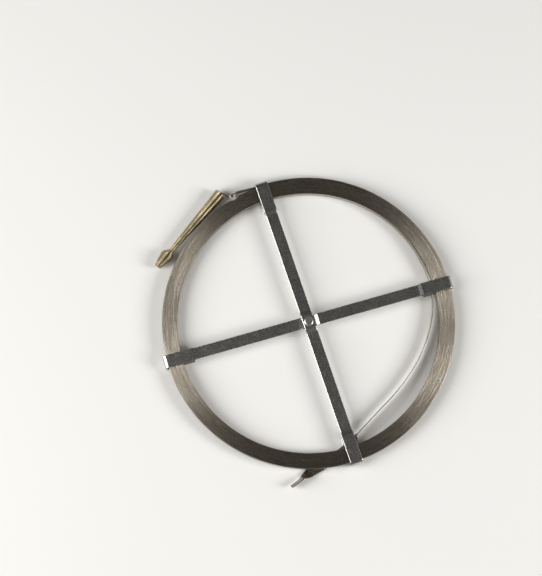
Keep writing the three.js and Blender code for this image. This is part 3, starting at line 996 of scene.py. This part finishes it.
def spring_tree():
    tree, given, out = new_geometry_tree("close_wound_spring", [
        ("Wire", "NodeSocketFloat", HEAD_WIRE), ("Steps per turn", "NodeSocketInt", COIL_STEPS),
        ("Wire sides", "NodeSocketInt", WIRE_SIDES), ("Finish", "NodeSocketMaterial", None),
    ])
    outline = given.outputs["Geometry"]
    steps = given.outputs["Steps per turn"]
    length = add_node(tree, "GeometryNodeCurveLength", None, Curve=outline).outputs[0]
    turns = math_node(tree, "DIVIDE", length, given.outputs["Wire"])
    count = math_node(tree, "ROUND", math_node(tree, "MULTIPLY", turns, steps))
    even = add_node(tree, "GeometryNodeResampleCurve", {"mode": "COUNT"}, Curve=outline, Count=count)
    index = add_node(tree, "GeometryNodeInputIndex").outputs[0]
    angle = math_node(tree, "DIVIDE", math_node(tree, "MULTIPLY", index, 2 * math.pi), steps)
    position = add_node(tree, "GeometryNodeInputPosition").outputs[0]
    place = add_node(tree, "ShaderNodeSeparateXYZ", None, Vector=position).outputs
    spun = add_node(
        tree, "ShaderNodeCombineXYZ", None,
        X=math_node(tree, "MULTIPLY", place["X"], math_node(tree, "COSINE", angle)),
        Y=math_node(tree, "MULTIPLY", place["X"], math_node(tree, "SINE", angle)),
        Z=place["Z"],
    ).outputs[0]
    wound = add_node(tree, "GeometryNodeSetPosition", None, Geometry=even.outputs[0], Position=spun)
    sweep_wire(tree, wound.outputs[0], given, out)
    return tree


def sweep_wire(tree, path, given, out):
    """Sweeps a round wire along a path, from the tree's Wire, Wire sides and Finish inputs."""
    radius = math_node(tree, "DIVIDE", given.outputs["Wire"], 2.0)
    section = add_node(tree, "GeometryNodeCurvePrimitiveCircle", None,
                       Resolution=given.outputs["Wire sides"], Radius=radius)
    swept = add_node(tree, "GeometryNodeCurveToMesh", None, Curve=path,
                     Profile_Curve=section.outputs[0], Fill_Caps=True)
    close_tree(tree, swept.outputs[0], given.outputs["Finish"], out)


spring = run_tree(
    path_object("head_outline", head_outline), spring_tree(), "wound_spring_head",
    Wire=HEAD_WIRE * WIRE_SLACK, Steps_per_turn=COIL_STEPS, Wire_sides=WIRE_SIDES, Finish=BRASS_WIRE,
)

# %% [markdown]
# The spring was wound standing on its tip. Now it is laid along its axis, which runs from the
# mouth, beside the eye, past the rim of the ring at a fixed stand-off.

# %% Laying the head on its axis
HOOK_REACH = 6.05 * MM                 # from the eye's middle to the spring's mouth
HOOK_BEARING = math.radians(41.9)      # of the hook, off the line from the hub to the eye
HEAD_STAND_OFF = 2.5 * MM              # of the head's axis from the rim of the ring

bearing = math.atan2(EYE.y, EYE.x) + HOOK_BEARING
from_eye = Vector((math.cos(bearing), math.sin(bearing)))
mouth = EYE + from_eye * HOOK_REACH
closest = RING_RADIUS + HEAD_STAND_OFF
heading_angle = math.atan2(mouth.y, mouth.x) + math.acos(closest / mouth.length) + math.pi / 2
heading = Vector((math.cos(heading_angle), math.sin(heading_angle), 0))
tip = Vector((*mouth, RING_LEVEL)) + heading * HEAD_LENGTH
side = Vector((0, 0, 1)).cross(-heading)
laid = Matrix((side, (-heading).cross(side), -heading)).transposed().to_4x4()
spring.data.transform(Matrix.Translation(tip) @ laid)
spring.data.update()
print("head points to", round(math.degrees(heading_angle), 1), "degrees")
print("its tip is at", [round(v / MM, 1) for v in tip], "mm")

# %% [markdown]
# ## Hook
# A short piece of wire comes out of the spring's mouth, dips under the eye, rises through it and
# is bent back over its rim. That is what lets the head swing. A bevelled curve would do, but the
# spring's own sweep keeps the caps closed.

# %% Hook
HOOK_WIRE = 0.9 * MM
HOOK_INSIDE = 2 * MM
HOOK_LIP = 1.9 * MM
HOOK_STEPS = 120
HOOK_SIDES = 16
RUNNING_GAP = 0.3 * MM
under = RING_LEVEL - TAPE_WIDTH / 2 - RUNNING_GAP - HOOK_WIRE / 2
over = RING_LEVEL + TAPE_WIDTH / 2 + RUNNING_GAP + HOOK_WIRE / 2


def off_eye(distance, height):
    plan = EYE + from_eye * distance
    return (plan.x, plan.y, height)


inner_end = mouth + heading.xy * HOOK_INSIDE
hook_points = [
    (inner_end.x, inner_end.y, RING_LEVEL), off_eye(HOOK_REACH, RING_LEVEL),
    off_eye(HOOK_REACH * 0.7, RING_LEVEL - HOOK_WIRE),
    off_eye(HOOK_REACH * 0.4, under + HOOK_WIRE / 3), off_eye(HOOK_WIRE, under),
    off_eye(0, under + HOOK_WIRE), off_eye(0, RING_LEVEL), off_eye(0, over - HOOK_WIRE),
    off_eye(HOOK_WIRE, over), off_eye(HOOK_LIP, over),
]


def wire_tree():
    tree, given, out = new_geometry_tree("round_wire", [
        ("Wire", "NodeSocketFloat", HOOK_WIRE), ("Wire sides", "NodeSocketInt", HOOK_SIDES),
        ("Finish", "NodeSocketMaterial", None),
    ])
    sweep_wire(tree, given.outputs["Geometry"], given, out)
    return tree


hook_route = smooth_route(np.array(hook_points) / MM, HOOK_STEPS) * MM
hook = run_tree(
    path_object("hook_line", hook_route), wire_tree(), "wire_hook",
    Wire=HOOK_WIRE, Wire_sides=HOOK_SIDES, Finish=BARE_WIRE,
)

# %% [markdown]
# ## Riding on the bodies
# Each finished piece stands for one imported node and moves with that node's body.

# %% Hand the pieces to the frame
for piece, node, body, slot in [
    (upper_strip, "upper_strip", "frame", "zinc_plated_strip"),
    (lower_strip, "lower_strip", "cross_strip", "zinc_plated_strip"),
    (rivet, "centre_rivet", "frame", "rivet_steel"),
    (tape, "steel_tape", "tape", "tape_steel"),
    (hook, "head_hook", "head", "hook_wire"),
    (spring, "auger_head", "head", "head_wire"),
]:
    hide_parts(node)
    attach(piece, body)
    low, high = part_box(node)
    corners = np.array([v.co for v in piece.data.vertices])
    grown = max(*(np.array(low) - corners.min(0)), *(corners.max(0) - np.array(high))) / MM
    print(f"{piece.name}: {grown:+.2f} mm against its node's box")
